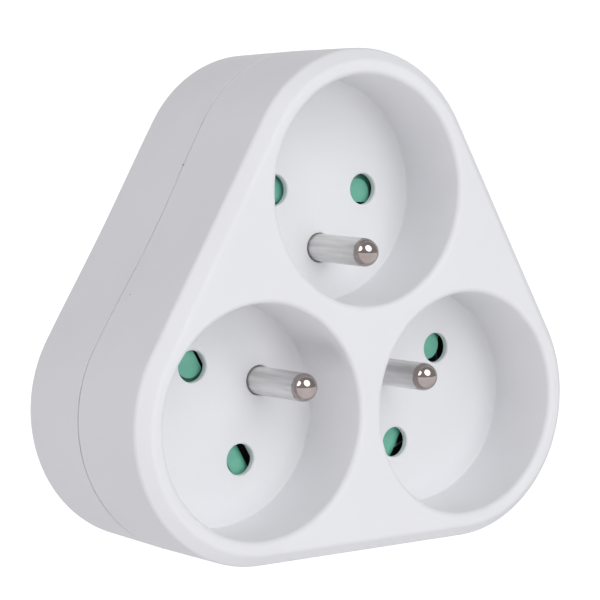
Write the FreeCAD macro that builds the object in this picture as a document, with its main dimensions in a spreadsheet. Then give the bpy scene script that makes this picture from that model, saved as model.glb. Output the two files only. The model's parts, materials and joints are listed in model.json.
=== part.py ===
import FreeCAD, Part
import Sketcher
import math
import os
import re

# A three-way socket adapter: a rounded triangular housing in two shells with three sockets
# in front, each with an earth pin and a sliding shutter, and a round plug boss behind.
# The origin is the centre of the plug's engagement face. +Y points into the wall, +Z is up.
# A height is a distance in front of the engagement face, so it runs along -Y.

# Driving sizes in millimetres
SIZES = {
    # sockets
    "socket_radius": "24.8",
    "well_radius": "19.3",
    "well_depth": "14.6",
    "well_wall": "1.8",
    "rim_bevel": "0.7",
    "floor_thickness": "2.0",
    "hole_skin": "1.15",
    "hole_radius": "2.7",
    "half_pitch": "9.5",
    "pin_radius": "2.4",
    "pin_gap": "0.05",
    "neck_radius": "2.1",
    "neck_length": "0.3",
    "tip_bevel": "1.0",
    "earth_offset": "10.0",
    "earth_reach": "15.0",
    "earth_hole_gap": "0.12",
    # housing
    "corner_radius": "24.0",
    "front_draft": "1.7",
    "rear_draft": "1.0",
    "front_bevel": "2.0",
    "rear_bevel": "0.3",
    "housing_depth": "35.0",
    "seam_depth": "18.6",
    "side_wall": "1.8",
    "front_plate": "2.0",
    "rear_plate": "2.0",
    "lip_thickness": "0.8",
    "lip_reach": "1.2",
    "lip_gap": "0.1",
    # plug boss
    "boss_height": "16.0",
    "boss_radius": "18.6",
    "boss_wall": "2.2",
    "boss_face": "3.0",
    "boss_bevel": "0.7",
    "sleeve_radius": "4.2",
    "plug_reach": "19.0",
    "plug_earth_offset": "10.0",
    "tube_radius": "3.1",
    "tube_bore": "2.5",
    "tube_depth": "14.6",
    "tube_floor": "1.0",
    "tube_inset": "0.3",
    "side_recess": "1.4",
    "guide_width": "5.0",
    "clip_width": "6.0",
    "clip_gap": "0.1",
    # sheet metal
    "sheet": "0.8",
    "bar_half_width": "3.6",
    "earth_bar_half_width": "3.0",
    "line_bar_stand": "1.6",
    "neutral_bar_stand": "3.6",
    "stem_radius": "1.6",
    "tail_radius": "1.2",
    # spring contacts and their carrier
    "contact_wall": "0.6",
    "contact_width": "5.6",
    "contact_gap": "0.3",
    "mouth_flare": "0.4",
    "mouth_length": "1.2",
    "carrier_plate": "1.2",
    "carrier_wall": "1.15",
    "carrier_clearance": "0.3",
    "mouth_gap": "0.2",
    "shutter_room": "2.4",
    # shutters and springs
    "shutter_inner": "2.3",
    "shutter_outer": "1.8",
    "shutter_half_length": "13.2",
    "shutter_thickness": "2.2",
    "shutter_pad": "0.65",
    "pad_half_length": "5.5",
    "slide_gap": "0.1",
    "shutter_travel": "4.8",
    "inner_bevel": "0.35",
    "outer_bevel": "0.5",
    "rail_thickness": "1.5",
    "stop_half_length": "3.0",
    "spring_room": "7.0",
    "spring_half_span": "10.0",
    "spring_crown": "1.5",
    "spring_strip": "0.25",
    "spring_foot": "0.4",
    "spring_width": "2.0",
    # flanges, screws and posts
    "flange_radius": "3.6",
    "flange_thickness": "1.2",
    "screw_ring": "28.0",
    "screw_radius": "1.45",
    "screw_gap": "0.05",
    "screw_hole_gap": "0.25",
    "screw_head_radius": "2.9",
    "screw_head": "2.0",
    "screw_bite": "8.0",
    "pilot_spare": "1.0",
    "overcut": "1.0",
    "counterbore_gap": "0.4",
    "screw_land": "5.0",
    "front_post_half": "2.8",
    "rear_post_half": "4.4",
    "notch_gap": "0.3",
    "stay_ring": "36.0",
    "stay_half_width": "2.0",
    "bar_post_half_width": "1.6",
    "bar_post_setback": "5.4",
    "relief_half": "3.0",
    "relief_depth": "1.1",
}

# Places and lengths worked out from the driving sizes
PLACES = {
    "rear_face": "boss_height",
    "rear_inside": "rear_face + rear_plate",
    "front_face": "boss_height + housing_depth",
    "front_inside": "front_face - front_plate",
    "seam": "front_face - seam_depth",
    "floor_front": "front_face - well_depth",
    "floor_back": "floor_front - floor_thickness",
    "skin_back": "floor_front - hole_skin",
    "carrier_front": "floor_back - shutter_room",
    "carrier_back": "carrier_front - carrier_plate",
    "shutter_front": "skin_back - slide_gap - shutter_pad",
    "shutter_back": "shutter_front - shutter_thickness",
    "track_half_length": "shutter_half_length + slide_gap",
    "spring_back": "(floor_back + carrier_front - spring_width) / 2",
    "spring_reach": "spring_room - 2 * slide_gap",
    "line_level": "rear_inside + line_bar_stand",
    "neutral_level": "rear_inside + neutral_bar_stand",
    "contact_bore": "pin_radius + pin_gap",
    "contact_half": "contact_bore + contact_wall",
    "contact_front": "carrier_back - contact_gap",
    "carrier_bore": "contact_half + mouth_flare + lip_gap",
    "carrier_sleeve": "carrier_bore + carrier_wall",
    "earth_bar_front": "floor_back - flange_thickness",
    "earth_bar_back": "earth_bar_front - sheet",
    "tube_end": "tube_inset + tube_depth + tube_floor",
    "screw_seat": "seam - screw_land",
    "clip_inside": "boss_radius - side_recess + clip_gap",
    "across": "sqrt(3) / 2",
}

# The sockets and how far each one is turned from the top, seen from the front, in degrees
SIDES = {"top": 0, "right": 120, "left": 240}
LINE_HOLES = {"top": "-half_pitch", "left": "half_pitch", "right": "half_pitch"}
NEUTRAL_HOLES = {"top": "half_pitch", "left": "-half_pitch", "right": "-half_pitch"}

# Two places closer than this count as one
SAME = 0.01

doc = FreeCAD.newDocument("socket_adapter")
dims = doc.addObject("Spreadsheet::Sheet", "dims")
for row, (word, text) in enumerate(SIZES.items(), start=1):
    dims.set(f"A{row}", text)
    dims.setAlias(f"A{row}", word)
doc.recompute()

pieces = []


def formula(text):
    """Write words for sizes and places as an expression over the sheet."""

    def swap(match):
        word = match.group(0)
        if word in PLACES:
            return "(" + formula(PLACES[word]) + ")"
        return "dims." + word if word in SIZES else word

    return re.sub(r"[a-z_]+", swap, text)


def number(text):
    """The present value of a formula, for a sketch's first layout."""
    value = dims.evalExpression(formula(text))
    return float(getattr(value, "Value", value))


def turned(side, x, z):
    """The place in the front view of a point that is at x, z when its socket is on top."""
    if side == "right":
        return f"({z}) * across - ({x}) / 2", f"-({x}) * across - ({z}) / 2"
    if side == "left":
        return f"-({z}) * across - ({x}) / 2", f"({x}) * across - ({z}) / 2"
    return x, z


def new_body(name):
    body = doc.addObject("PartDesign::Body", name)
    body.Label = name
    body.AllowCompound = True
    pieces.append(body)
    return body


def origin_part(body, role):
    return next(part for part in body.Origin.OriginFeatures if part.Role == role)


def plane_sketch(body, name, role, offset):
    """A sketch on one of the body's own origin planes, moved along the plane's normal."""
    sketch = body.newObject("Sketcher::SketchObject", f"{body.Name}_{name}")
    sketch.AttachmentSupport = [(origin_part(body, role), "")]
    sketch.MapMode = "FlatFace"
    sketch.setExpression(".AttachmentOffset.Base.z", formula(offset))
    return sketch


def level_sketch(body, name, height):
    """A sketch seen from the front, at a height in front of the engagement face."""
    return plane_sketch(body, name, "XZ_Plane", height)


def bind(sketch, constraint, text):
    index = sketch.addConstraint(constraint)
    sketch.setExpression(f"Constraints[{index}]", formula(text))


def hold(sketch, item, point, x, y):
    """Hold one point of a sketch at the place that two formulas give."""
    for kind, axis, text in (("DistanceX", -2, x), ("DistanceY", -1, y)):
        if text == "0":
            sketch.addConstraint(Sketcher.Constraint("PointOnObject", item, point, axis))
        else:
            bind(sketch, Sketcher.Constraint(kind, -1, 1, item, point, number(text)), text)


def circle(sketch, x, y, radius):
    middle = FreeCAD.Vector(number(x), number(y), 0)
    item = sketch.addGeometry(Part.Circle(middle, FreeCAD.Vector(0, 0, 1), number(radius)))
    hold(sketch, item, 3, x, y)
    bind(sketch, Sketcher.Constraint("Radius", item, number(radius)), radius)


def polygon(sketch, points):
    """Closed run of straight lines through points given as pairs of formulas."""
    spots = [FreeCAD.Vector(number(x), number(y), 0) for x, y in points]
    ends = spots[1:] + spots[:1]
    lines = [sketch.addGeometry(Part.LineSegment(a, b)) for a, b in zip(spots, ends)]
    for line, following, (x, y) in zip(lines, lines[1:] + lines[:1], points):
        sketch.addConstraint(Sketcher.Constraint("Coincident", line, 2, following, 1))
        hold(sketch, line, 1, x, y)


def rectangle(sketch, x_low, x_high, y_low, y_high):
    corners = [(x_low, y_low), (x_high, y_low), (x_high, y_high), (x_low, y_high)]
    polygon(sketch, corners)


def square(sketch, x, y, half):
    """An upright square about a centre."""
    rectangle(sketch, f"{x} - {half}", f"{x} + {half}", f"{y} - {half}", f"{y} + {half}")


def squares(body, name, height, centres, half):
    sketch = level_sketch(body, name, height)
    for x, z in centres:
        square(sketch, x, z, f"({half})")
    return sketch


def slot(sketch, start, end, radius):
    """A straight strip with round ends about two centres."""
    size = number(radius)
    centres = [FreeCAD.Vector(number(x), number(y), 0) for x, y in (start, end)]
    run = centres[1] - centres[0]
    side = math.atan2(run.y, run.x) + math.pi / 2
    offset = FreeCAD.Vector(math.cos(side), math.sin(side), 0) * size
    arcs = []
    for centre, first in zip(centres, (side, side + math.pi)):
        ring = Part.Circle(centre, FreeCAD.Vector(0, 0, 1), size)
        arcs.append(sketch.addGeometry(Part.ArcOfCircle(ring, first, first + math.pi)))
    near = sketch.addGeometry(Part.LineSegment(centres[0] - offset, centres[1] - offset))
    far = sketch.addGeometry(Part.LineSegment(centres[1] + offset, centres[0] + offset))
    joints = ((arcs[0], 2, near, 1), (near, 2, arcs[1], 1), (arcs[1], 2, far, 1), (far, 2, arcs[0], 1))
    for joint in joints:
        sketch.addConstraint(Sketcher.Constraint("Tangent", *joint))
    hold(sketch, arcs[0], 3, *start)
    hold(sketch, arcs[1], 3, *end)
    bind(sketch, Sketcher.Constraint("Radius", arcs[0], size), radius)


def quarter(sketch, x, y, radius):
    """A quarter disc below and to the right of its centre."""
    centre = FreeCAD.Vector(number(x), number(y), 0)
    size = number(radius)
    ring = Part.Circle(centre, FreeCAD.Vector(0, 0, 1), size)
    arc = sketch.addGeometry(Part.ArcOfCircle(ring, -math.pi / 2, 0))
    down = centre - FreeCAD.Vector(0, size, 0)
    across = centre + FreeCAD.Vector(size, 0, 0)
    axis = sketch.addGeometry(Part.LineSegment(centre, down))
    base = sketch.addGeometry(Part.LineSegment(across, centre))
    for joint in ((axis, 2, arc, 1), (arc, 2, base, 1), (base, 2, axis, 1), (arc, 3, axis, 1)):
        sketch.addConstraint(Sketcher.Constraint("Coincident", *joint))
    sketch.addConstraint(Sketcher.Constraint("Vertical", axis))
    sketch.addConstraint(Sketcher.Constraint("Horizontal", base))
    hold(sketch, arc, 3, x, y)
    bind(sketch, Sketcher.Constraint("Radius", arc, size), radius)


def rounded_triangle(sketch, radius):
    """Three arcs about the well centres, joined by tangent lines."""
    size = number(radius)
    reach = number("socket_radius")
    arcs = []
    ends = []
    for turn in SIDES.values():
        middle = math.radians(90 - turn)
        centre = FreeCAD.Vector(reach * math.cos(middle), reach * math.sin(middle), 0)
        ring = Part.Circle(centre, FreeCAD.Vector(0, 0, 1), size)
        arc = Part.ArcOfCircle(ring, middle - math.pi / 3, middle + math.pi / 3)
        arcs.append(sketch.addGeometry(arc))
        ends.append((arc.StartPoint, arc.EndPoint))
    for here in range(len(arcs)):
        beyond = (here + 1) % len(arcs)
        line = sketch.addGeometry(Part.LineSegment(ends[here][0], ends[beyond][1]))
        sketch.addConstraint(Sketcher.Constraint("Tangent", line, 1, arcs[here], 1))
        sketch.addConstraint(Sketcher.Constraint("Tangent", line, 2, arcs[beyond], 2))
    for arc, side in zip(arcs, SIDES):
        hold(sketch, arc, 3, *turned(side, "0", "socket_radius"))
        bind(sketch, Sketcher.Constraint("Radius", arc, size), radius)


def feature(body, kind, name, **values):
    item = body.newObject("PartDesign::" + kind, f"{body.Name}_{name}")
    for key, value in values.items():
        setattr(item, key, value)
    return item


def pad(body, sketch, length):
    item = feature(body, "Pad", "pad", Profile=sketch)
    item.setExpression("Length", formula(length))
    return item


def pocket(body, sketch, length):
    """Cut from the sketch towards the engagement face."""
    item = feature(body, "Pocket", "pocket", Profile=sketch)
    item.setExpression("Length", formula(length))
    return item


def thrice(body, *originals):
    """Repeat features for the three sockets, about the plug axis."""
    item = feature(body, "PolarPattern", "thrice", Originals=list(originals),
                   Occurrences=len(SIDES))
    item.Axis = (origin_part(body, "Y_Axis"), [""])
    item.Angle = 360
    body.Tip = item
    return item


def level_edges(item, height, radius=None):
    """Names of the edges that lie at one height, or only of the circles of one radius."""
    doc.recompute()
    level = -number(height)
    names = []
    for index, edge in enumerate(item.Shape.Edges, start=1):
        box = edge.BoundBox
        if abs(box.YMin - level) > SAME or abs(box.YMax - level) > SAME:
            continue
        if radius is None or abs(getattr(edge.Curve, "Radius", 0) - number(radius)) < SAME:
            names.append(f"Edge{index}")
    return names


def soften(body, kind, item, height, size, radius=None):
    """Fillet or chamfer the edges that lie at one height."""
    names = level_edges(item, height, radius)
    softened = feature(body, kind, "edge", Base=(item, names))
    softened.setExpression("Radius" if kind == "Fillet" else "Size", formula(size))
    doc.recompute()
    return softened


def drafted_shell(body, length, draft, backwards):
    """The outer form of a shell: a rounded triangle that narrows away from the seam."""
    outline = level_sketch(body, "outline", "seam")
    rounded_triangle(outline, "corner_radius")
    shell = pad(body, outline, length)
    shell.Reversed = backwards
    shell.setExpression("TaperAngle", formula("-" + draft))
    return shell


def disc_pad(body, name, height, length, *circles):
    sketch = level_sketch(body, name, height)
    for x, z, radius in circles:
        circle(sketch, x, z, radius)
    return pad(body, sketch, length)


def disc_pocket(body, name, height, length, *circles):
    sketch = level_sketch(body, name, height)
    for x, z, radius in circles:
        circle(sketch, x, z, radius)
    return pocket(body, sketch, length)


def box_pocket(body, name, height, length, *boxes):
    sketch = level_sketch(body, name, height)
    for box in boxes:
        rectangle(sketch, *box)
    return pocket(body, sketch, length)


def live_holes(holes):
    return [turned(side, x, "socket_radius") for side, x in holes.items()]


def front_cover():
    """Front, side wall and the walls of the three wells."""
    body = new_body("front_cover")
    shell = drafted_shell(body, "front_face - seam", "front_draft", False)
    soften(body, "Chamfer", shell, "front_face", "front_bevel")

    cavity = level_sketch(body, "cavity", "front_inside")
    rounded_triangle(cavity, "corner_radius - side_wall")
    pocket(body, cavity, "front_inside - seam")
    rebate = level_sketch(body, "rebate", "seam + lip_reach + lip_gap")
    rounded_triangle(rebate, "corner_radius - side_wall + lip_thickness + lip_gap")
    pocket(body, rebate, "lip_reach + lip_gap")

    wall = disc_pad(body, "wells", "floor_front", "front_inside - floor_front",
                    ("0", "socket_radius", "well_radius + well_wall"))
    posts = squares(body, "posts", "seam", [("0", "-screw_ring")], "front_post_half")
    thrice(body, wall, pad(body, posts, "front_inside - seam"))
    well = disc_pocket(body, "well", "front_face", "well_depth", ("0", "socket_radius", "well_radius"))
    pilot = disc_pocket(body, "pilot", "seam + screw_bite + pilot_spare", "screw_bite + pilot_spare",
                        ("0", "-screw_ring", "screw_radius + screw_gap"))
    wells = thrice(body, well, pilot)
    soften(body, "Chamfer", wells, "front_face", "rim_bevel", "well_radius")


def well_floor(side, turn):
    """The disc across the bottom of a well, with its pin holes and the shutter's track and rails."""
    body = new_body("well_floor_" + side)
    disc_pad(body, "disc", "floor_back", "floor_thickness",
             ("0", "socket_radius", "well_radius + well_wall"))
    box_pocket(body, "track", "skin_back", "skin_back - floor_back",
               ("-track_half_length", "track_half_length",
                "socket_radius - hole_radius - slide_gap",
                "socket_radius + shutter_outer + shutter_travel + slide_gap"))
    disc_pocket(body, "holes", "floor_front", "floor_thickness",
                ("-half_pitch", "socket_radius", "hole_radius"),
                ("half_pitch", "socket_radius", "hole_radius"),
                ("0", "socket_radius - earth_offset", "pin_radius + earth_hole_gap"))
    guides = level_sketch(body, "guides", "carrier_front")
    for start, end in (("track_half_length", "track_half_length + rail_thickness"),
                       ("-track_half_length - rail_thickness", "-track_half_length")):
        rectangle(guides, start, end, "socket_radius - shutter_inner",
                  "socket_radius + shutter_outer + shutter_travel")
    spring_stop = "socket_radius + shutter_outer + spring_room"
    rectangle(guides, "-stop_half_length", "stop_half_length", spring_stop,
              spring_stop + " + rail_thickness")
    rest_stop = "socket_radius - shutter_inner - slide_gap"
    rectangle(guides, "-stop_half_length", "stop_half_length", rest_stop + " - rail_thickness",
              rest_stop)
    pad(body, guides, "floor_back - carrier_front")
    body.Placement.Rotation = FreeCAD.Rotation(FreeCAD.Vector(0, 1, 0), turn)


def rear_cover():
    """Rear shell with a lip at the seam, screw posts, and stays for the carrier and the bars."""
    body = new_body("rear_cover")
    shell = drafted_shell(body, "seam - rear_face", "rear_draft", True)
    soften(body, "Chamfer", shell, "rear_face", "rear_bevel")

    cavity = level_sketch(body, "cavity", "seam")
    rounded_triangle(cavity, "corner_radius - side_wall")
    pocket(body, cavity, "seam - rear_inside")
    lip = level_sketch(body, "lip", "seam")
    rounded_triangle(lip, "corner_radius - side_wall")
    rounded_triangle(lip, "corner_radius - side_wall + lip_thickness")
    pad(body, lip, "lip_reach")

    disc_pocket(body, "hollow", "rear_inside", "rear_plate", ("0", "0", "boss_radius - boss_wall"))
    half_clip = "clip_width / 2 + clip_gap"
    entry_low = "boss_radius - boss_wall - overcut"
    entry_high = "clip_inside + sheet + clip_gap"
    box_pocket(body, "entries", "rear_inside", "rear_plate",
               (f"-({half_clip})", half_clip, entry_low, entry_high),
               (f"-({half_clip})", half_clip, f"-({entry_high})", f"-({entry_low})"))

    centres = live_holes(LINE_HOLES) + live_holes(NEUTRAL_HOLES)
    pocket(body, squares(body, "reliefs", "rear_inside", centres, "relief_half"), "relief_depth")

    for holes, pin_x, stand in ((LINE_HOLES, "-half_pitch", "line_bar_stand"),
                                (NEUTRAL_HOLES, "half_pitch", "neutral_bar_stand")):
        posts = level_sketch(body, "bar_posts", "rear_inside")
        for x, z in live_holes(holes):
            run = f"hypot({pin_x} - ({x}); {z})"
            share = f"bar_post_setback / {run}"
            square(posts, f"{x} + ({pin_x} - ({x})) * {share}", f"({z}) * (1 - {share})",
                   "bar_post_half_width")
        pad(body, posts, stand)

    posts = squares(body, "posts", "rear_inside", [("0", "-screw_ring")], "rear_post_half")
    stays = squares(body, "stays", "rear_inside", [("0", "stay_ring")], "stay_half_width")
    thrice(body, pad(body, posts, "seam - rear_inside"),
           pad(body, stays, "carrier_back - rear_inside"))
    sink = disc_pocket(body, "sinks", "screw_seat", "screw_seat - rear_face",
                       ("0", "-screw_ring", "screw_head_radius + counterbore_gap"))
    hole = disc_pocket(body, "screw_holes", "seam", "seam - screw_seat",
                       ("0", "-screw_ring", "screw_radius + screw_hole_gap"))
    thrice(body, sink, hole)


def plug_boss():
    """Round boss with the pins' bores and sleeves, and recesses for the clip and the guide ribs."""
    body = new_body("plug_boss")
    boss = disc_pad(body, "boss", "0", "rear_face", ("0", "0", "boss_radius"))
    soften(body, "Chamfer", boss, "0", "boss_bevel")
    disc_pocket(body, "hollow", "rear_face", "rear_face - boss_face",
                ("0", "0", "boss_radius - boss_wall"))
    disc_pad(body, "sleeves", "boss_face", "rear_face - boss_face",
             ("-half_pitch", "0", "sleeve_radius"),
             ("half_pitch", "0", "sleeve_radius"),
             ("0", "plug_earth_offset", "sleeve_radius"))
    disc_pocket(body, "bores", "rear_face", "rear_face",
                ("-half_pitch", "0", "neck_radius + pin_gap"),
                ("half_pitch", "0", "neck_radius + pin_gap"),
                ("0", "plug_earth_offset", "tube_radius + pin_gap"))
    disc_pocket(body, "pin_seats", "neck_length", "neck_length",
                ("-half_pitch", "0", "pin_radius + pin_gap"),
                ("half_pitch", "0", "pin_radius + pin_gap"))
    half_clip = "clip_width / 2 + clip_gap"
    recess = "boss_radius - side_recess"
    beyond = "boss_radius + overcut"
    box_pocket(body, "recesses", "rear_face", "rear_face",
               (f"-({half_clip})", half_clip, recess, beyond),
               (f"-({half_clip})", half_clip, f"-({beyond})", f"-({recess})"),
               (recess, beyond, "-guide_width / 2", "guide_width / 2"),
               (f"-({beyond})", f"-({recess})", "-guide_width / 2", "guide_width / 2"))


def contact_carrier():
    """Insulating plate behind the shutters, with a sleeve round each spring contact."""
    body = new_body("contact_carrier")
    plate = level_sketch(body, "plate", "carrier_back")
    rounded_triangle(plate, "corner_radius - side_wall - carrier_clearance")
    pad(body, plate, "carrier_plate")
    for name, holes, level in (("line", LINE_HOLES, "line_level"),
                               ("neutral", NEUTRAL_HOLES, "neutral_level")):
        centres = live_holes(holes)
        bottom = f"{level} + sheet"
        sleeve_height = f"carrier_back - ({bottom})"
        pad(body, squares(body, name + "_sleeves", bottom, centres, "carrier_sleeve"), sleeve_height)
        pocket(body, squares(body, name + "_bores", "carrier_back", centres, "carrier_bore"),
               sleeve_height)
        mouths = squares(body, name + "_mouths", "carrier_front", centres, "hole_radius + mouth_gap")
        pocket(body, mouths, "carrier_plate")
    notch = "rear_post_half + notch_gap"
    thrice(body, box_pocket(body, "notches", "carrier_front", "carrier_plate",
                            (f"-({notch})", notch, "-screw_ring - socket_radius",
                             f"-screw_ring + {notch}")))
    stem_hole = [("0", "plug_earth_offset")]
    pocket(body, squares(body, "stem_hole", "carrier_front", stem_hole, "stem_radius + notch_gap"),
           "carrier_plate")


def bar(name, holes, pin_x, level):
    """A current bar: three strips from the plug pin, one to each contact."""
    body = new_body(name)
    ends = live_holes(holes)
    for x, z in ends:
        strip = level_sketch(body, "strip", level)
        slot(strip, (pin_x, "0"), (x, z), "bar_half_width")
        pad(body, strip, "sheet")
    pocket(body, squares(body, "passages", f"{level} + sheet", ends, "contact_bore"), "sheet")
    disc_pocket(body, "hole", f"{level} + sheet", "sheet", (pin_x, "0", "stem_radius + pin_gap"))


def spring_contact(name, x, z, level):
    """A folded clip on its bar: a base with a passage and two leaves that flare at the mouth."""
    body = new_body(name)
    bottom = f"{level} + sheet"
    section = plane_sketch(body, "section", "XY_Plane", "-contact_width / 2")
    neck = "contact_front - mouth_length"
    right = [("contact_half", bottom), ("contact_half", neck),
             ("contact_half + mouth_flare", "contact_front"),
             ("contact_bore + mouth_flare", "contact_front"),
             ("contact_bore", neck), ("contact_bore", f"{bottom} + contact_wall")]
    left = [(f"-({x_place})", height) for x_place, height in reversed(right)]
    polygon(section, [(x_place, f"-({height})") for x_place, height in right + left])
    pad(body, section, "contact_width")
    passage = level_sketch(body, "passage", f"{bottom} + contact_wall")
    square(passage, "0", "0", "contact_bore")
    pocket(body, passage, "contact_wall")
    body.setExpression(".Placement.Base.x", formula(x))
    body.setExpression(".Placement.Base.z", formula(z))


def earth_bar():
    """Flat three-armed plate riveted to the earth pins behind the well floors."""
    body = new_body("earth_bar")
    for side in SIDES:
        arm = level_sketch(body, "arm", "earth_bar_back")
        slot(arm, ("0", "0"), turned(side, "0", "socket_radius - earth_offset"), "earth_bar_half_width")
        pad(body, arm, "sheet")
    ends = [turned(side, "0", "socket_radius - earth_offset") for side in SIDES]
    disc_pocket(body, "holes", "earth_bar_front", "sheet",
                *[(x, z, "tail_radius + pin_gap") for x, z in ends],
                ("0", "plug_earth_offset", "tail_radius + pin_gap"))


def turned_piece(body, points):
    """Revolve a closed profile given as pairs of radius and height."""
    sketch = plane_sketch(body, "profile", "XY_Plane", "0")
    polygon(sketch, [(radius, f"-({height})") for radius, height in points])
    return turn_about_axis(body, sketch)


def turn_about_axis(body, sketch):
    item = feature(body, "Revolution", "turning", Profile=sketch, Angle=360)
    item.ReferenceAxis = (sketch, ["V_Axis"])
    return item


def earth_pin(side):
    """A turned pin with a riveted tail, a flange behind the floor, a neck and a domed tip."""
    body = new_body("earth_pin_" + side)
    shoulder = "floor_front + earth_reach - pin_radius"
    turned_piece(body, [
        ("0", "earth_bar_back"),
        ("tail_radius", "earth_bar_back"),
        ("tail_radius", "earth_bar_front"),
        ("flange_radius", "earth_bar_front"),
        ("flange_radius", "floor_back"),
        ("neck_radius", "floor_back"),
        ("neck_radius", "floor_front + neck_length"),
        ("pin_radius", "floor_front + neck_length"),
        ("pin_radius", shoulder),
        ("0", shoulder),
    ])
    dome = plane_sketch(body, "dome", "XY_Plane", "0")
    quarter(dome, "0", f"-({shoulder})", "pin_radius")
    turn_about_axis(body, dome)
    x, z = turned(side, "0", "socket_radius - earth_offset")
    body.setExpression(".Placement.Base.x", formula(x))
    body.setExpression(".Placement.Base.z", formula(z))


def plug_pin(name, x, level):
    """A turned plug pin with a neck through the boss, riveted to its bar at the inner end."""
    body = new_body(name)
    tail = f"{level} + sheet"
    tip = "-plug_reach"
    turning = turned_piece(body, [
        ("0", tail),
        ("stem_radius", tail),
        ("stem_radius", level),
        ("neck_radius", level),
        ("neck_radius", "-neck_length"),
        ("pin_radius", "-neck_length"),
        ("pin_radius", tip),
        ("0", tip),
    ])
    soften(body, "Chamfer", turning, tip, "tip_bevel")
    body.setExpression(".Placement.Base.x", formula(x))


def plug_earth_socket():
    """Tube for a wall socket's earth pin, with a stem to the earth bar."""
    body = new_body("plug_earth_socket")
    turned_piece(body, [
        ("0", "tube_end - tube_floor"),
        ("tube_bore", "tube_end - tube_floor"),
        ("tube_bore", "tube_inset"),
        ("tube_radius", "tube_inset"),
        ("tube_radius", "tube_end"),
        ("stem_radius", "tube_end"),
        ("stem_radius", "earth_bar_back"),
        ("tail_radius", "earth_bar_back"),
        ("tail_radius", "earth_bar_front"),
        ("0", "earth_bar_front"),
    ])
    body.setExpression(".Placement.Base.z", formula("plug_earth_offset"))


def earth_clip():
    """One bent strip: an earth contact on each side of the boss and a bridge between them."""
    body = new_body("earth_clip")
    sketch = plane_sketch(body, "section", "YZ_Plane", "-clip_width / 2")
    near = "-rear_face"
    far = "-rear_face - sheet"
    outside = "clip_inside + sheet"
    open_end = "-boss_bevel - clip_gap"
    polygon(sketch, [
        (open_end, outside), (far, outside), (far, f"-({outside})"), (open_end, f"-({outside})"),
        (open_end, "-clip_inside"), (near, "-clip_inside"), (near, "clip_inside"),
        (open_end, "clip_inside"),
    ])
    pad(body, sketch, "clip_width")
    disc_pocket(body, "hole", "rear_face + sheet", "sheet",
                ("0", "plug_earth_offset", "stem_radius + pin_gap"))


def shutter(side, turn):
    """A strip across both pin holes of a socket, pushed home by its spring."""
    body = new_body("shutter_" + side)
    inner = "socket_radius - shutter_inner"
    outer = "socket_radius + shutter_outer"
    strip = level_sketch(body, "strip", "shutter_back")
    rectangle(strip, "-shutter_half_length", "shutter_half_length", inner, outer)
    base = pad(body, strip, "shutter_thickness")
    doc.recompute()
    for place, size in ((inner, "inner_bevel"), (outer, "outer_bevel")):
        names = [name for name in level_edges(base, "shutter_front")
                 if edge_row(base, name, place)]
        base = feature(body, "Chamfer", "bevel", Base=(base, names))
        base.setExpression("Size", formula(size))
        doc.recompute()
    raised = level_sketch(body, "raised", "shutter_front")
    rectangle(raised, "-pad_half_length", "pad_half_length", f"{inner} + inner_bevel",
              f"{outer} - outer_bevel")
    pad(body, raised, "shutter_pad")
    body.Placement.Rotation = FreeCAD.Rotation(FreeCAD.Vector(0, 1, 0), turn)


def edge_row(item, name, place):
    """Whether an edge runs across the front at the given place along Z."""
    box = item.Shape.getElement(name).BoundBox
    return abs(box.ZMin - number(place)) < SAME and abs(box.ZMax - number(place)) < SAME


def shutter_spring(side, turn):
    """A bent strip of spring steel with its feet on a shutter and its crown on the stop."""
    body = new_body("shutter_spring_" + side)
    foot = "socket_radius + shutter_outer + slide_gap"
    crown = f"{foot} + spring_reach"
    right = [("spring_crown", crown), ("spring_half_span", foot),
             ("spring_half_span - spring_foot", foot), ("spring_crown", f"{crown} - spring_strip")]
    left = [(f"-({x})", z) for x, z in reversed(right)]
    bow = level_sketch(body, "bow", "spring_back")
    polygon(bow, right + left)
    pad(body, bow, "spring_width")
    body.Placement.Rotation = FreeCAD.Rotation(FreeCAD.Vector(0, 1, 0), turn)


def cover_screws():
    """Three equal screws that hold the shells together from the rear."""
    body = new_body("cover_screws")
    head = disc_pad(body, "head", "screw_seat - screw_head", "screw_head",
                    ("0", "-screw_ring", "screw_head_radius"))
    shank = disc_pad(body, "shank", "screw_seat", "seam + screw_bite - screw_seat",
                     ("0", "-screw_ring", "screw_radius"))
    thrice(body, head, shank)


front_cover()
rear_cover()
plug_boss()
contact_carrier()
bar("line_bar", LINE_HOLES, "-half_pitch", "line_level")
bar("neutral_bar", NEUTRAL_HOLES, "half_pitch", "neutral_level")
earth_bar()
plug_pin("plug_pin_line", "-half_pitch", "line_level")
plug_pin("plug_pin_neutral", "half_pitch", "neutral_level")
plug_earth_socket()
earth_clip()
cover_screws()
for side, turn in SIDES.items():
    well_floor(side, turn)
    earth_pin(side)
    shutter(side, turn)
    shutter_spring(side, turn)
    for kind, holes, level in (("line", LINE_HOLES, "line_level"),
                               ("neutral", NEUTRAL_HOLES, "neutral_level")):
        x, z = turned(side, holes[side], "socket_radius")
        spring_contact(f"{kind}_contact_{side}", x, z, level)

doc.recompute()
for item in doc.Objects:
    if "Invalid" in item.State or "Error" in item.State:
        raise RuntimeError(f"{item.Name} failed: {item.State}")
for piece in pieces:
    if piece.Shape.isNull() or not piece.Shape.isValid():
        raise RuntimeError(f"{piece.Label} has no valid shape")

os.makedirs("parts", exist_ok=True)
for piece in pieces:
    piece.Shape.exportStep(f"parts/{piece.Label}.step")
    print(piece.Label, len(piece.Shape.Solids), round(piece.Shape.Volume, 1))
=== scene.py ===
import json
import math

import bmesh
import bpy
from mathutils import Matrix, Vector
from mathutils.geometry import delaunay_2d_cdt


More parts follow.
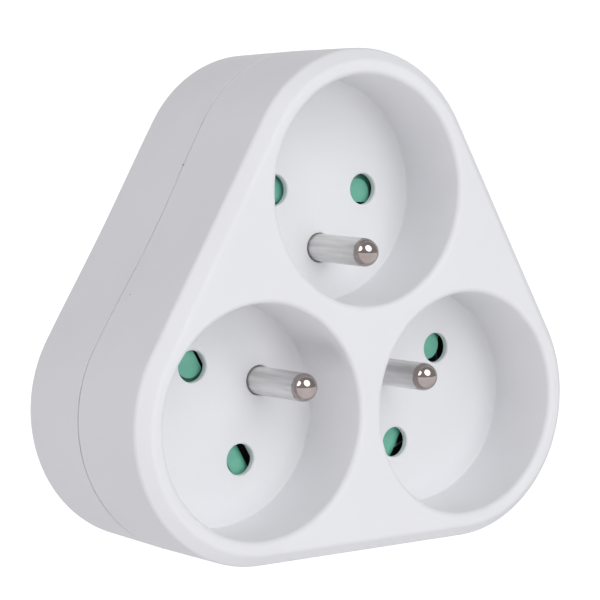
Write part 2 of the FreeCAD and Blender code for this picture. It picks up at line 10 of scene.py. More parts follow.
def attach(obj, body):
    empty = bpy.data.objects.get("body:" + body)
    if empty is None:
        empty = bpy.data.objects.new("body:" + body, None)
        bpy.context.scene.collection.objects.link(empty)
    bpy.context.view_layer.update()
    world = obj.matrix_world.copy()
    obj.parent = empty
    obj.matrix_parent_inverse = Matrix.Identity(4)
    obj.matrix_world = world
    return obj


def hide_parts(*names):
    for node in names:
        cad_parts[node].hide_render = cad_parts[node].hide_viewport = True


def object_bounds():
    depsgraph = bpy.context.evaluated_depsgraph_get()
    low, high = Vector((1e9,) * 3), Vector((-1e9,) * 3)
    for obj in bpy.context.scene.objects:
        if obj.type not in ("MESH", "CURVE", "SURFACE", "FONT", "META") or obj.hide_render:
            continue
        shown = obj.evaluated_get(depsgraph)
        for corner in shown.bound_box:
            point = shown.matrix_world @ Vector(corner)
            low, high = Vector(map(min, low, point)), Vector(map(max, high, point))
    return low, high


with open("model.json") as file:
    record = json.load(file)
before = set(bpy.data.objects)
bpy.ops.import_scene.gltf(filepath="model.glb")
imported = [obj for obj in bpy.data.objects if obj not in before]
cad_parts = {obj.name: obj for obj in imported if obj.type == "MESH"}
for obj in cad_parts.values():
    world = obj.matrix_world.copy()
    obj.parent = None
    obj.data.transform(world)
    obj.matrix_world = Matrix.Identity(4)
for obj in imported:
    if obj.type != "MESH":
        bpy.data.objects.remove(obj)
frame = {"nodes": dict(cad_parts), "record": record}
cad_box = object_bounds()

# Sizes in millimetres. A height is a distance in front of the plug's engagement face, along -Y.
MM = 0.001
SIDES = {"top": 0, "right": 120, "left": 240}
WELL_STEPS = 144
PIN_STEPS = 64
HOLE_STEPS = 48
SHARP_ANGLE = math.radians(32)

# The layout of the sockets
SOCKET_RADIUS = 24.8
HALF_PITCH = 9.5
EARTH_OFFSET = 10.0

# The body's outline and its seam
CORNER_RADIUS = 24.0
INNER_RADIUS = 22.2
FRONT_SLOPE = math.tan(math.radians(1.0))
FRONT_BEVEL = 2.0
BEVEL_WIDTH = 2.2
BEVEL_ROUND = 1.3
FACE_ROUND = 1.4
FACE_RIM = 0.6
BACK_ROUND = 0.35
BACK_RIM = 1.0
REAR_BOW = 0.25
SEAM_BOW = 0.6
SEAM_GROOVE = 1.0
SEAM_HALF_WIDTH = 0.19
GROOVE_ROUND = 0.02
SEAM_ROUND = 0.08

# Heights through the body
FRONT_FACE = 51.0
FRONT_INSIDE = 49.0
FLOOR_FRONT = 36.4
SKIN_BACK = 35.25
FLOOR_BACK = 34.4
SEAM = 31.9
REAR_INSIDE = 18.0
REAR_FACE = 15.4

# Wells, pin holes and the tracks of the shutters
WELL_RADIUS = 19.3
WELL_WALL = 1.8
WELL_RIM = 1.0
WELL_ROOT = 0.3
HOLE_RADIUS = 2.7
EARTH_HOLE = 2.52
HOLE_LIP = 0.35
TRACK_HALF = 13.3
TRACK_INNER = 2.85
TRACK_OUTER = 8.2

# The plug boss and the screw sinks
BOSS_RADIUS = 18.6
BOSS_EDGE = 0.9
BOSS_RECESS = 17.2
BOSS_HOLLOW = 16.4
BOSS_FLOOR = 15.8
CLIP_HALF = 3.1
GUIDE_HALF = 2.5
BORE_LIP = 0.15
BORE_END = 15.5
NECK_BORE = 2.15
TUBE_BORE = 3.15
PIN_SEAT = 2.45
SEAT_DEPTH = 0.3
SCREW_RING = 28.0
SCREW_SEAT = 27.4
SINK_RADIUS = 3.3
SINK_LIP = 0.25

# Pins
PIN_RADIUS = 2.4
NECK_RADIUS = 2.1
NECK_LENGTH = 0.3
STEM_RADIUS = 1.6
SHEET = 0.8
BAR_BACK = {"line": 19.6, "neutral": 21.6}
PLUG_TIP = -19.0
PLUG_NOSE = 1.9
TAIL_RADIUS = 1.2
TAIL_BACK = 32.4
FLANGE_RADIUS = 3.6
FLANGE_BACK = 33.2
COLLAR_RADIUS = 2.48
COLLAR_FRONT = 36.2
COLLAR_END = 36.3
DOME_BASE = 49.0
TOP_PIN_DROOP = 0.03

# Shutters: three heights, then distances from the line through the pin holes or from its middle
SHUTTER_BACK = 32.3
SHUTTER_LOW = 33.5
SHUTTER_FRONT = 34.5
SHUTTER_HALF = 13.2
SHUTTER_INNER = 2.3
SOFT_ROUND = 2.0
CRISP_ROUND = 0.35
PAD_PLACE = 9.6
PAD_SHIFT = 0.7
PAD_RADIUS = 2.65
PAD_EDGE = 0.06
PAD_FLARE = 0.2
PAD_END = {"top": 1, "right": -1, "left": 1}
OUTER_REACH = {"top": (3.2, 3.2), "right": (1.8, 2.7), "left": (1.8, 1.8)}
OUTER_ROUND = {"top": SOFT_ROUND, "right": SOFT_ROUND, "left": CRISP_ROUND}
INNER_ROUND = {"top": CRISP_ROUND, "right": CRISP_ROUND, "left": SOFT_ROUND}


def turned(x, z, degrees):
    """A point of the top socket's layout, turned about the plug axis as seen from the front."""
    turn = math.radians(degrees)
    return (x * math.cos(turn) + z * math.sin(turn), z * math.cos(turn) - x * math.sin(turn))


def rounded_triangle(radius, bow=0.0, steps=48, runs=16):
    """Three arcs about the well centres, joined by sides that may bow inwards."""
    points = []
    for turn in (0, 240, 120):
        cx, cz = turned(0, SOCKET_RADIUS, turn)
        nx, nz = turned(0, SOCKET_RADIUS, turn - 120)
        middle = math.radians(90 - turn)
        for step in range(steps + 1):
            angle = middle + math.radians(-60 + 120 * step / steps)
            points.append((cx + radius * math.cos(angle), cz + radius * math.sin(angle)))
        for run in range(1, runs):
            share = run / runs
            size = radius - bow * math.sin(math.pi * share) ** 2
            points.append((cx + (nx - cx) * share + size * math.cos(angle),
                           cz + (nz - cz) * share + size * math.sin(angle)))
    return points


def circle(cx, cz, radius, steps=96):
    return [(cx + radius * math.cos(2 * math.pi * step / steps),
             cz + radius * math.sin(2 * math.pi * step / steps)) for step in range(steps)]


def box_outline(low_x, high_x, low_z, high_z, turn=0):
    corners = [(low_x, low_z), (high_x, low_z), (high_x, high_z), (low_x, high_z)]
    return [turned(x, z, turn) for x, z in corners]


def boss_outline(radius, steps=20):
    """The boss seen from the front: a circle with a flat recess on each of its four sides."""
    points = []
    halves = (GUIDE_HALF, CLIP_HALF, GUIDE_HALF, CLIP_HALF)
    for quarter, half in enumerate(halves):
        turn = math.radians(90 * quarter)
        for x, z in ((BOSS_RECESS, -half), (BOSS_RECESS, half)):
            points.append((x * math.cos(turn) - z * math.sin(turn),
                           x * math.sin(turn) + z * math.cos(turn)))
        start = turn + math.asin(half / radius)
        following = halves[(quarter + 1) % 4]
        end = turn + math.pi / 2 - math.asin(following / radius)
        for step in range(steps + 1):
            angle = start + (end - start) * step / steps
            points.append((radius * math.cos(angle), radius * math.sin(angle)))
    return points


def soft_corners(profile, steps=6):
    """A profile of size, height and corner radius as pairs, with an arc at each inner corner."""
    points = [profile[0][:2]]
    for before, here, after in zip(profile, profile[1:], profile[2:]):
        corner = Vector(here[:2])
        into = (corner - Vector(before[:2])).normalized()
        away = (Vector(after[:2]) - corner).normalized()
        half = into.angle(away) / 2
        radius = here[2]
        centre = corner + (away - into).normalized() * radius / math.cos(half)
        start = corner - into * radius * math.tan(half) - centre
        end = corner + away * radius * math.tan(half) - centre
        for step in range(steps + 1):
            spoke = start.normalized().slerp(end.normalized(), step / steps)
            points.append(tuple(centre + spoke * radius))
    return points + [profile[-1][:2]]


def inside(point, outline):
    x, z = point
    hit = False
    for (ax, az), (bx, bz) in zip(outline, outline[1:] + outline[:1]):
        if (az > z) != (bz > z) and x < (bx - ax) * (z - az) / (bz - az) + ax:
            hit = not hit
    return hit


class Skin:
    """A mesh built from closed rings, walls between them and flat plates across them."""

    def __init__(self):
        self.mesh = bmesh.new()

    def ring(self, outline, height):
        verts = [self.mesh.verts.new(Vector((x, -height, z)) * MM) for x, z in outline]
        return verts, outline

    def wall(self, *rings):
        for (lower, _), (upper, _) in zip(rings, rings[1:]):
            count = len(lower)
            for index in range(count):
                beyond = (index + 1) % count
                self.mesh.faces.new((lower[index], lower[beyond], upper[beyond], upper[index]))

    def plate(self, outer, *holes):
        verts = []
        points = []
        edges = []
        for ring_verts, outline in (outer,) + holes:
            start = len(verts)
            count = len(ring_verts)
            verts += ring_verts
            points += [Vector(point) for point in outline]
            edges += [(start + index, start + (index + 1) % count) for index in range(count)]
        made = delaunay_2d_cdt(points, edges, [], 1, 1e-7)
        names = made[3]
        for face in made[2]:
            middle = sum((made[0][corner] for corner in face), Vector((0, 0))) / len(face)
            if not inside(middle, outer[1]) or any(inside(middle, hole[1]) for hole in holes):
                continue
            corners = [verts[names[corner][0]] for corner in face]
            if len(set(corners)) == len(corners):
                self.mesh.faces.new(corners)

    def lid(self, ring):
        self.mesh.faces.new(ring[0])

    def lift(self, outline_at, profile):
        """Rings through pairs of size and height, joined by walls; gives the first and last."""
        rings = [self.ring(outline_at(size), height) for size, height in profile]
        self.wall(*rings)
        return rings[0], rings[-1]

    def side(self, profile, far_end, far_bow=0.0):
        """The outer side of a shell, from the seam to its far end; it bows inwards at the seam."""
        rings = []
        for size, height in profile:
            fade = max(0.0, (height - far_end) / (SEAM - far_end))
            bow = far_bow + (SEAM_BOW - far_bow) * fade
            rings.append(self.ring(rounded_triangle(size, bow), height))
        self.wall(*rings)
        return rings[0], rings[-1]

    def piece(self, name, material, body="housing"):
        """The finished object, smooth but for its sharp edges, riding on its body."""
        bmesh.ops.recalc_face_normals(self.mesh, faces=self.mesh.faces)
        for edge in self.mesh.edges:
            edge.smooth = len(edge.link_faces) != 2 or edge.calc_face_angle(0) <= SHARP_ANGLE
        for face in self.mesh.faces:
            face.smooth = True
        data = bpy.data.meshes.new(name)
        self.mesh.to_mesh(data)
        self.mesh.free()
        data.materials.append(material)
        thing = bpy.data.objects.new(name, data)
        bpy.context.scene.collection.objects.link(thing)
        weights = thing.modifiers.new("weights", "WEIGHTED_NORMAL")
        weights.keep_sharp = True
        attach(thing, body)
        return thing


def arc(centre_size, centre_height, radius, start, end, steps):
    """Points of a rounding as pairs of size and height; 0 degrees points to a larger size."""
    points = []
    for step in range(steps + 1):
        angle = math.radians(start + (end - start) * step / steps)
        points.append((centre_size + radius * math.cos(angle),
                       centre_height + radius * math.sin(angle)))
    return points


# Materials
RAMP_START = 0.35
RAMP_END = 0.65
SPECKS = [((-24.76, -31.75, 29.12), 0.30), ((-36.99, -34.51, 8.16), 0.2)]
SPECK_TINT = (0.30, 0.30, 0.31, 1)
SPECK_CORE = 0.3
SPECK_COVER = 0.75


def node_material(name):
    material = bpy.data.materials.new(name)
    material.use_nodes = True
    tree = material.node_tree
    return material, tree, tree.nodes["Principled BSDF"]


def noise(tree, scale, detail=4.0, stretch=(1, 1, 1)):
    where = tree.nodes.new("ShaderNodeTexCoord")
    place = tree.nodes.new("ShaderNodeMapping")
    place.inputs["Scale"].default_value = stretch
    tree.links.new(where.outputs["Object"], place.inputs["Vector"])
    texture = tree.nodes.new("ShaderNodeTexNoise")
    texture.inputs["Scale"].default_value = scale
    texture.inputs["Detail"].default_value = detail
    tree.links.new(place.outputs["Vector"], texture.inputs["Vector"])
    return texture.outputs["Fac"]


def ramp(tree, value, low, high):
    colours = tree.nodes.new("ShaderNodeValToRGB")
    colours.color_ramp.elements[0].position = RAMP_START
    colours.color_ramp.elements[1].position = RAMP_END
    colours.color_ramp.elements[0].color = (*low, 1)
    colours.color_ramp.elements[1].color = (*high, 1)
    tree.links.new(value, colours.inputs["Fac"])
    return colours.outputs["Color"]


def bump(tree, shader, value, strength, distance):
    relief = tree.nodes.new("ShaderNodeBump")
    relief.inputs["Strength"].default_value = strength
    relief.inputs["Distance"].default_value = distance
    tree.links.new(value, relief.inputs["Height"])
    tree.links.new(relief.outputs["Normal"], shader.inputs["Normal"])


def speck(tree, tint, place, radius):
    """A tiny dark speck in the surface; place and radius are in millimetres."""
    where = tree.nodes.new("ShaderNodeTexCoord")
    away = tree.nodes.new("ShaderNodeVectorMath")
    away.operation = "DISTANCE"
    away.inputs[1].default_value = Vector(place) * MM
    tree.links.new(where.outputs["Object"], away.inputs[0])
    fade = tree.nodes.new("ShaderNodeMapRange")
    fade.inputs["From Min"].default_value = SPECK_CORE * radius * MM
    fade.inputs["From Max"].default_value = radius * MM
    fade.inputs["To Min"].default_value = SPECK_COVER
    fade.inputs["To Max"].default_value = 0.0
    tree.links.new(away.outputs["Value"], fade.inputs["Value"])
    mixed = tree.nodes.new("ShaderNodeMixRGB")
    mixed.inputs["Color2"].default_value = SPECK_TINT
    tree.links.new(fade.outputs["Result"], mixed.inputs["Fac"])
    tree.links.new(tint, mixed.inputs["Color1"])
    return mixed.outputs["Color"]


def white_plastic():
    material, tree, shader = node_material("white_plastic")
    tint = ramp(tree, noise(tree, 60), (0.832, 0.833, 0.848), (0.850, 0.852, 0.868))
    for place, radius in SPECKS:
        tint = speck(tree, tint, place, radius)
    tree.links.new(tint, shader.inputs["Base Color"])
    shader.inputs["Roughness"].default_value = 0.55
    shader.inputs["Specular IOR Level"].default_value = 0.3
    bump(tree, shader, noise(tree, 2600, 2.0), 0.06, 0.00005)
    return material


def green_plastic():
    material, tree, shader = node_material("green_plastic")
    tint = ramp(tree, noise(tree, 400), (0.125, 0.45, 0.32), (0.15, 0.51, 0.365))
    tree.links.new(tint, shader.inputs["Base Color"])
    shader.inputs["Roughness"].default_value = 0.45
    shader.inputs["Specular IOR Level"].default_value = 0.8
    bump(tree, shader, noise(tree, 3000, 2.0), 0.08, 0.00004)
    return material


def metal(name, low, high, roughness, scale, strength, stretch=(1, 1, 1)):
    material, tree, shader = node_material(name)
    value = noise(tree, scale, 3.0, stretch)
    tree.links.new(ramp(tree, value, low, high), shader.inputs["Base Color"])
    shader.inputs["Metallic"].default_value = 1.0
    shader.inputs["Roughness"].default_value = roughness
    bump(tree, shader, value, strength, 0.00003)
    return material


# Painted shade: a near-black finish for the contact carrier, so the inside of a socket, seen
# through the gaps beside the shutters, reads as shade.
def painted_shade_plastic():
    material, tree, shader = node_material("carrier_painted_shade")
    tint = ramp(tree, noise(tree, 300), (0.012, 0.013, 0.014), (0.018, 0.019, 0.020))
    tree.links.new(tint, shader.inputs["Base Color"])
    shader.inputs["Roughness"].default_value = 0.6
    return material


WHITE = white_plastic()
GREEN = green_plastic()
INSIDE_SHADE = painted_shade_plastic()
SHANK = metal("pin_shank", (0.60, 0.585, 0.58), (0.76, 0.75, 0.745), 0.30, 900, 0.4, (1, 0.08, 1))
TIP = metal("pin_tip", (0.41, 0.355, 0.335), (0.47, 0.41, 0.39), 0.07, 500, 0.03)
# Painted shade: a dark, dull metal for the earth pins' collar rings, standing in for the shade
# where each pin enters its hole.
COLLAR_SHADE = metal("pin_collar_painted_shade", (0.22, 0.195, 0.18), (0.28, 0.25, 0.235), 0.6, 500, 0.1)
BRASS = metal("brass_sheet", (0.66, 0.48, 0.20), (0.74, 0.55, 0.26), 0.3, 300, 0.1)
# Painted shade: the contacts' bronze is darkened so they show only as shade through the gaps
# beside the shutters.
BRONZE_SHADE = metal("contact_bronze_painted_shade", (0.16, 0.11, 0.06), (0.20, 0.14, 0.08), 0.45, 300, 0.1)
STEEL = metal("zinc_steel", (0.52, 0.53, 0.55), (0.62, 0.63, 0.65), 0.3, 600, 0.1)


# Front: side wall, rounded edge, flat face, three wells with their floors and holes


def front_shell():
    skin = Skin()
    bevel_start = FRONT_FACE - FRONT_BEVEL
    at_bevel = CORNER_RADIUS - (bevel_start - SEAM) * FRONT_SLOPE
    at_face = at_bevel - BEVEL_WIDTH
    profile = soft_corners([(CORNER_RADIUS - SEAM_GROOVE, SEAM),
                            (CORNER_RADIUS - SEAM_GROOVE, SEAM + SEAM_HALF_WIDTH, GROOVE_ROUND),
                            (CORNER_RADIUS, SEAM + SEAM_HALF_WIDTH, SEAM_ROUND),
                            (at_bevel, bevel_start, BEVEL_ROUND),
                            (at_face, FRONT_FACE, FACE_ROUND),
                            (at_face - FACE_RIM, FRONT_FACE)])
    seam_ring, face_ring = skin.side(profile, bevel_start)

    rims = []
    linings = []
    for turn in SIDES.values():
        cx, cz = turned(0, SOCKET_RADIUS, turn)

        def around(radius, cx=cx, cz=cz):
            return circle(cx, cz, radius, WELL_STEPS)

        profile = arc(WELL_RADIUS + WELL_RIM, FRONT_FACE - WELL_RIM, WELL_RIM, 90, 180, 6)
        profile += arc(WELL_RADIUS - WELL_ROOT, FLOOR_FRONT + WELL_ROOT, WELL_ROOT, 0, -90, 4)
        top_ring, floor_ring = skin.lift(around, profile)
        rims.append(top_ring)

        holes = []
        backs = []
        spots = [(-HALF_PITCH, SOCKET_RADIUS, HOLE_RADIUS, SKIN_BACK),
                 (HALF_PITCH, SOCKET_RADIUS, HOLE_RADIUS, SKIN_BACK),
                 (0, SOCKET_RADIUS - EARTH_OFFSET, EARTH_HOLE, FLOOR_BACK)]
        for x, z, radius, bottom in spots:
            hx, hz = turned(x, z, turn)

            def about(size, hx=hx, hz=hz):
                return circle(hx, hz, size, HOLE_STEPS)

            profile = arc(radius + HOLE_LIP, FLOOR_FRONT - HOLE_LIP, HOLE_LIP, 90, 180, 5)
            first, last = skin.lift(about, profile + [(radius, bottom)])
            holes.append(first)
            backs.append(last)
        skin.plate(floor_ring, *holes)

        track = box_outline(-TRACK_HALF, TRACK_HALF, SOCKET_RADIUS - TRACK_INNER,
                            SOCKET_RADIUS + TRACK_OUTER, turn)
        ceiling = skin.ring(track, SKIN_BACK)
        opening = skin.ring(track, FLOOR_BACK)
        skin.plate(ceiling, *backs[:2])
        skin.wall(ceiling, opening)
        outer = skin.ring(around(WELL_RADIUS + WELL_WALL), FLOOR_BACK)
        skin.plate(outer, opening, backs[2])
        inner = skin.ring(around(WELL_RADIUS + WELL_WALL), FRONT_INSIDE)
        skin.wall(outer, inner)
        linings.append(inner)

    skin.plate(face_ring, *rims)
    lining = skin.ring(rounded_triangle(INNER_RADIUS), FRONT_INSIDE)
    skin.plate(lining, *linings)
    mouth = skin.ring(rounded_triangle(INNER_RADIUS), SEAM)
    skin.wall(lining, mouth)
    skin.plate(seam_ring, mouth)
    shell = skin.piece("front_shell", WHITE)
    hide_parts("front_cover", *["well_floor_" + side for side in SIDES])


# Rear: side wall, rounded edge, flat back with screw sinks, and the plug boss


def rear_shell():
    skin = Skin()
    profile = soft_corners([(CORNER_RADIUS - SEAM_GROOVE, SEAM),
                            (CORNER_RADIUS - SEAM_GROOVE, SEAM - SEAM_HALF_WIDTH, GROOVE_ROUND),
                            (CORNER_RADIUS, SEAM - SEAM_HALF_WIDTH, SEAM_ROUND),
                            (CORNER_RADIUS, REAR_FACE, BACK_ROUND),
                            (CORNER_RADIUS - BACK_RIM, REAR_FACE)])
    seam_ring, back_ring = skin.side(profile, REAR_FACE, REAR_BOW)

    sinks = []
    for turn in SIDES.values():
        cx, cz = turned(0, -SCREW_RING, turn)

        def around(radius, cx=cx, cz=cz):
            return circle(cx, cz, radius, HOLE_STEPS)

        profile = arc(SINK_RADIUS + SINK_LIP, REAR_FACE + SINK_LIP, SINK_LIP, -90, -180, 4)
        first, last = skin.lift(around, profile + [(SINK_RADIUS, SCREW_SEAT)])
        sinks.append(first)
        skin.lid(last)
    boss_hole = skin.ring(circle(0, 0, BOSS_HOLLOW), REAR_FACE)
    skin.plate(back_ring, boss_hole, *sinks)
    hollow = skin.ring(circle(0, 0, BOSS_HOLLOW), REAR_INSIDE)
    skin.wall(boss_hole, hollow)
    floor = skin.ring(rounded_triangle(INNER_RADIUS), REAR_INSIDE)
    skin.plate(floor, hollow)
    mouth = skin.ring(rounded_triangle(INNER_RADIUS), SEAM)
    skin.wall(floor, mouth)
    skin.plate(seam_ring, mouth)
    shell = skin.piece("rear_shell", WHITE)
    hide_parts("rear_cover")


def boss():
    skin = Skin()
    foot, face = skin.lift(boss_outline, [(BOSS_RADIUS, REAR_FACE)]
                           + arc(BOSS_RADIUS - BOSS_EDGE, BOSS_EDGE, BOSS_EDGE, 0, -90, 8))
    holes = []
    neck_bore = [(PIN_SEAT, SEAT_DEPTH), (NECK_BORE, SEAT_DEPTH), (NECK_BORE, BORE_END)]
    spots = [(-HALF_PITCH, 0, PIN_SEAT, neck_bore), (HALF_PITCH, 0, PIN_SEAT, neck_bore),
             (0, EARTH_OFFSET, TUBE_BORE, [(TUBE_BORE, BORE_END)])]
    for x, z, radius, bore in spots:

        def around(size, x=x, z=z):
            return circle(x, z, size, HOLE_STEPS)

        profile = arc(radius + BORE_LIP, BORE_LIP, BORE_LIP, -90, -180, 3)
        first, last = skin.lift(around, profile + bore)
        skin.lid(last)
        holes.append(first)
    skin.plate(face, *holes)
    rim = skin.ring(circle(0, 0, BOSS_HOLLOW), REAR_FACE)
    skin.plate(foot, rim)
    floor = skin.ring(circle(0, 0, BOSS_HOLLOW), BOSS_FLOOR)
    skin.wall(rim, floor)
    skin.lid(floor)
    piece = skin.piece("boss", WHITE)
    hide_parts("plug_boss")


def pin(name, x, z, profile, node, tip_from, forward, droop=0.0):
    """A turned pin along the plug axis, with a brushed shank and a polished tip.

    A pin that points forward also has a dull collar in its well's floor, darkened with painted
    shade, and may lean down.
    """
    skin = Skin()

    def around(radius):
        return circle(x, z, radius, PIN_STEPS)

    first, last = skin.lift(around, profile)
    skin.lid(first)
    skin.lid(last)
    piece = skin.piece(name, SHANK)
    for vert in piece.data.vertices:
        vert.co.z -= droop * max(0.0, -vert.co.y - FLOOR_FRONT * MM)
    piece.data.materials.append(TIP)
    piece.data.materials.append(COLLAR_SHADE)
    for face in piece.data.polygons:
        height = -face.center.y / MM
        if (height > tip_from) == forward:
            face.material_index = 1
        # Painted shade: the pin's faces below the floor take the dark collar material; of these,
        # only the collar ring shows.
        elif forward and height < COLLAR_END:
            face.material_index = 2
    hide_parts(node)


def earth_pins():
    for side, turn in SIDES.items():
        x, z = turned(0, SOCKET_RADIUS - EARTH_OFFSET, turn)
        profile = [(TAIL_RADIUS, TAIL_BACK), (TAIL_RADIUS, FLANGE_BACK),
                   (FLANGE_RADIUS, FLANGE_BACK), (FLANGE_RADIUS, FLOOR_BACK),
                   (COLLAR_RADIUS, FLOOR_BACK), (COLLAR_RADIUS, COLLAR_FRONT),
                   (PIN_RADIUS, COLLAR_FRONT + 0.05), (PIN_RADIUS, FLOOR_FRONT + 0.1)]
        profile += arc(0, DOME_BASE, PIN_RADIUS, 0, 88, 20)
        pin("earth_pin_body_" + side, x, z, profile, "earth_pin_" + side, DOME_BASE, True,
            droop=TOP_PIN_DROOP if side == "top" else 0.0)


def plug_pins():
    for word, x in (("line", -HALF_PITCH), ("neutral", HALF_PITCH)):
        level = BAR_BACK[word]
        profile = [(STEM_RADIUS, level + SHEET), (STEM_RADIUS, level), (NECK_RADIUS, level),
                   (NECK_RADIUS, -NECK_LENGTH + 0.05), (PIN_RADIUS - 0.05, -NECK_LENGTH),
                   (PIN_RADIUS, -NECK_LENGTH - 0.08)]
        shoulder = PLUG_TIP + PLUG_NOSE
        profile += arc(PIN_RADIUS - PLUG_NOSE, shoulder, PLUG_NOSE, 0, -90, 12)
        pin("plug_pin_body_" + word, x, 0, profile, "plug_pin_" + word, shoulder, False)


def strip_section(side, end, reach):
    """A shutter's section at one of its ends: low and flat under the pad, rounded at the other."""
    inner, outer = SOCKET_RADIUS - SHUTTER_INNER, SOCKET_RADIUS + reach
    section = [(inner, SHUTTER_BACK), (outer, SHUTTER_BACK)]
    if end == PAD_END[side]:
        return section + [(outer, SHUTTER_LOW), (inner, SHUTTER_LOW)]
    size = OUTER_ROUND[side]
    section += arc(outer - size, SHUTTER_FRONT - size, size, 0, 90, 9)
    size = INNER_ROUND[side]
    return section + arc(inner + size, SHUTTER_FRONT - size, size, 90, 180, 9)


def shutters():
    """A strip across both pin holes; one end has a raised round pad, the other is rounded off."""
    for side, turn in SIDES.items():
        skin = Skin()
        for end, reach in zip((-1, 1), OUTER_REACH[side]):
            section = strip_section(side, end, reach)
            rows = []
            for x in (0, SHUTTER_HALF * end):
                places = [(*turned(x, z, turn), height) for z, height in section]
                rows.append(([skin.mesh.verts.new(Vector((px, -height, pz)) * MM)
                              for px, pz, height in places], None))
            skin.wall(*rows)
            skin.lid(rows[0])
            skin.lid(rows[1])

        def pad_outline(radius, x=PAD_PLACE * PAD_END[side], turn=turn):
            points = circle(x, SOCKET_RADIUS - PAD_SHIFT, radius, PIN_STEPS)
            return [turned(px, max(pz, SOCKET_RADIUS - SHUTTER_INNER), turn) for px, pz in points]

        foot, top = skin.lift(pad_outline, [(PAD_RADIUS + PAD_FLARE, SHUTTER_LOW),
                                            (PAD_RADIUS, SHUTTER_FRONT - PAD_EDGE),
                                            (PAD_RADIUS - PAD_EDGE, SHUTTER_FRONT)])
        skin.lid(foot)
        skin.lid(top)
        piece = skin.piece("shutter_slide_" + side, GREEN, "shutter_" + side)
        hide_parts("shutter_" + side)


def inner_nodes():
    """The hidden sheet parts keep their CAD shape and get a finish; the carrier and contacts,
    which show through the holes, get painted shade.
    """
    finishes = {"brass": BRASS, "steel": STEEL, "plated_pins": SHANK, "white_plastic": WHITE}
    slots = {row["node"]: row["material_slot"] for row in frame["record"]["subparts"]}
    for node, thing in frame["nodes"].items():
        material = finishes.get(slots[node])
        # Painted shade: the carrier, seen through the holes, is made dark.
        if node == "contact_carrier":
            material = INSIDE_SHADE
        # Painted shade: the contacts take the darkened bronze.
        elif "_contact_" in node:
            material = BRONZE_SHADE
        if material:
            thing.data.materials.clear()
            thing.data.materials.append(material)


front_shell()
rear_shell()
boss()
earth_pins()
plug_pins()
shutters()
inner_nodes()


# Stage, in metres: a white sweep, its twin for the reflections, soft boxes and a faint surround
SWEEP_FRONT = -2.5
SWEEP_BEND = 1.0
SWEEP_ROUND = 0.8
SWEEP_TOP = 3.0
SWEEP_HALF = 4.0
SWEEP_STEPS = 16
FRONT_TINT = (0.975, 0.99, 1)
SIDE_TINT = (0.985, 0.955, 1)
SURROUND_TINT = (0.978, 0.967, 1, 1)
SURROUND_STRENGTH = 0.40
LIGHT_AIM = Vector((0, -0.035, 0.0))
LIGHT_DISTANCE = 1.1
GLINT_DISTANCE = 1.0

# Name, azimuth, elevation, power, size, tint, distance, and whether it only shows in reflections.
# Azimuth 0 is straight in front and 90 is at +X.
SOFT_BOXES = [("high", 3, 36, 3.15, 0.9, FRONT_TINT, LIGHT_DISTANCE, False),
              ("high_glint", 3, 36, 6.2, 0.9, FRONT_TINT, GLINT_DISTANCE, True),
              ("left_glint", -80, 33, 4.6, 0.75, FRONT_TINT, LIGHT_DISTANCE, True),
              ("front", 10, 0, 2.05, 0.6, FRONT_TINT, LIGHT_DISTANCE, False),
              ("front_left", -15, 0, 0.8, 0.6, FRONT_TINT, LIGHT_DISTANCE, False),
              ("upper_left", -35, 35, 0.85, 0.6, FRONT_TINT, LIGHT_DISTANCE, False),
              ("low_left", -75, -35, 2.75, 0.6, SIDE_TINT, LIGHT_DISTANCE, False),
              ("low_right", 35, -35, 1.05, 0.6, FRONT_TINT, LIGHT_DISTANCE, False),
              ("rear_left", -107, 35, 0.75, 0.7, SIDE_TINT, LIGHT_DISTANCE, False)]


def stage_sweep(name, glow, seen):
    """One sweep is seen by the camera; its twin, a little dimmer, only shows in reflections."""
    low = cad_box[0].z
    profile = [(SWEEP_FRONT, low), (SWEEP_BEND, low)]
    for step in range(1, SWEEP_STEPS + 1):
        angle = math.radians(90 * step / SWEEP_STEPS)
        profile.append((SWEEP_BEND + SWEEP_ROUND * math.sin(angle),
                        low + SWEEP_ROUND * (1 - math.cos(angle))))
    profile.append((SWEEP_BEND + SWEEP_ROUND, SWEEP_TOP))
    mesh = bmesh.new()
    rows = [[mesh.verts.new((x, y, z)) for y, z in profile] for x in (-SWEEP_HALF, SWEEP_HALF)]
    for index in range(len(profile) - 1):
        mesh.faces.new((rows[0][index], rows[1][index], rows[1][index + 1], rows[0][index + 1]))
    data = bpy.data.meshes.new(name)
    mesh.to_mesh(data)
    mesh.free()
    for face in data.polygons:
        face.use_smooth = True
    sweep = bpy.data.objects.new(name, data)
    bpy.context.scene.collection.objects.link(sweep)
    material, tree, shader = node_material(name + "_white")
    tint = ramp(tree, noise(tree, 2), (0.30, 0.30, 0.30), (0.32, 0.32, 0.32))
    tree.links.new(tint, shader.inputs["Base Color"])
    shader.inputs["Roughness"].default_value = 0.9
    shader.inputs["Emission Color"].default_value = (0.985, 0.975, 1, 1)
    shader.inputs["Emission Strength"].default_value = glow
    data.materials.append(material)
    sweep.visible_camera = seen
    sweep.visible_glossy = not seen
    sweep.visible_diffuse = False
    sweep.visible_shadow = False


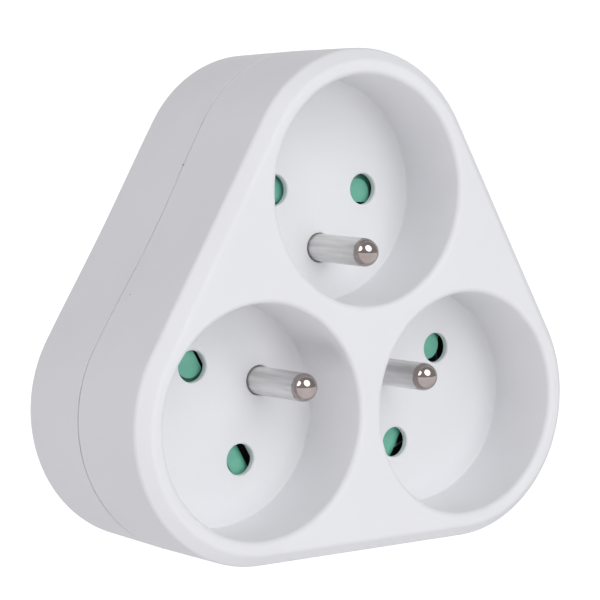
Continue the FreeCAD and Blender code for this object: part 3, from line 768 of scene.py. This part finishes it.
def softbox(name, azimuth, elevation, power, size, tint, distance, mirrored):
    """A round soft box aimed at the housing: it either lights it or only shows in reflections."""
    light = bpy.data.lights.new(name, "AREA")
    light.shape = "DISK"
    light.size = size
    light.energy = power
    light.color = tint
    lamp = bpy.data.objects.new(name, light)
    around, rise = math.radians(azimuth), math.radians(elevation)
    direction = Vector((math.sin(around) * math.cos(rise), -math.cos(around) * math.cos(rise),
                        math.sin(rise)))
    lamp.location = LIGHT_AIM + direction * distance
    lamp.rotation_euler = (LIGHT_AIM - lamp.location).to_track_quat("-Z", "Y").to_euler()
    lamp.visible_diffuse = not mirrored
    lamp.visible_glossy = mirrored
    bpy.context.scene.collection.objects.link(lamp)


def surround():
    world = bpy.data.worlds.new("surround")
    world.use_nodes = True
    background = world.node_tree.nodes["Background"]
    background.inputs["Color"].default_value = SURROUND_TINT
    background.inputs["Strength"].default_value = SURROUND_STRENGTH
    bpy.context.scene.world = world


def camera():
    """The photograph's viewpoint, as fitted to the outline, the rims, the holes and the pins."""
    yaw, pitch, roll = 0.626605, -0.071866, -0.003411
    place = Vector((-0.195368, -0.300414, 0.029359))
    forward = Vector((math.sin(yaw) * math.cos(pitch), math.cos(yaw) * math.cos(pitch),
                      math.sin(pitch)))
    right = Vector((math.cos(yaw), -math.sin(yaw), 0))
    up = right.cross(forward)
    level = right * math.cos(roll) + up * math.sin(roll)
    upright = up * math.cos(roll) - right * math.sin(roll)
    data = bpy.data.cameras.new("camera")
    data.sensor_width = 36
    data.lens = 114.03
    data.clip_start = 0.01
    data.clip_end = 50
    thing = bpy.data.objects.new("camera", data)
    axes = Matrix((level, upright, -forward)).transposed().to_4x4()
    thing.matrix_world = Matrix.Translation(place) @ axes
    bpy.context.scene.collection.objects.link(thing)
    bpy.context.scene.camera = thing


stage_sweep("sweep", 1.0, True)
stage_sweep("sweep_reflected", 0.72, False)
for box in SOFT_BOXES:
    softbox(*box)
surround()
camera()
bpy.context.scene.view_settings.view_transform = "Standard"
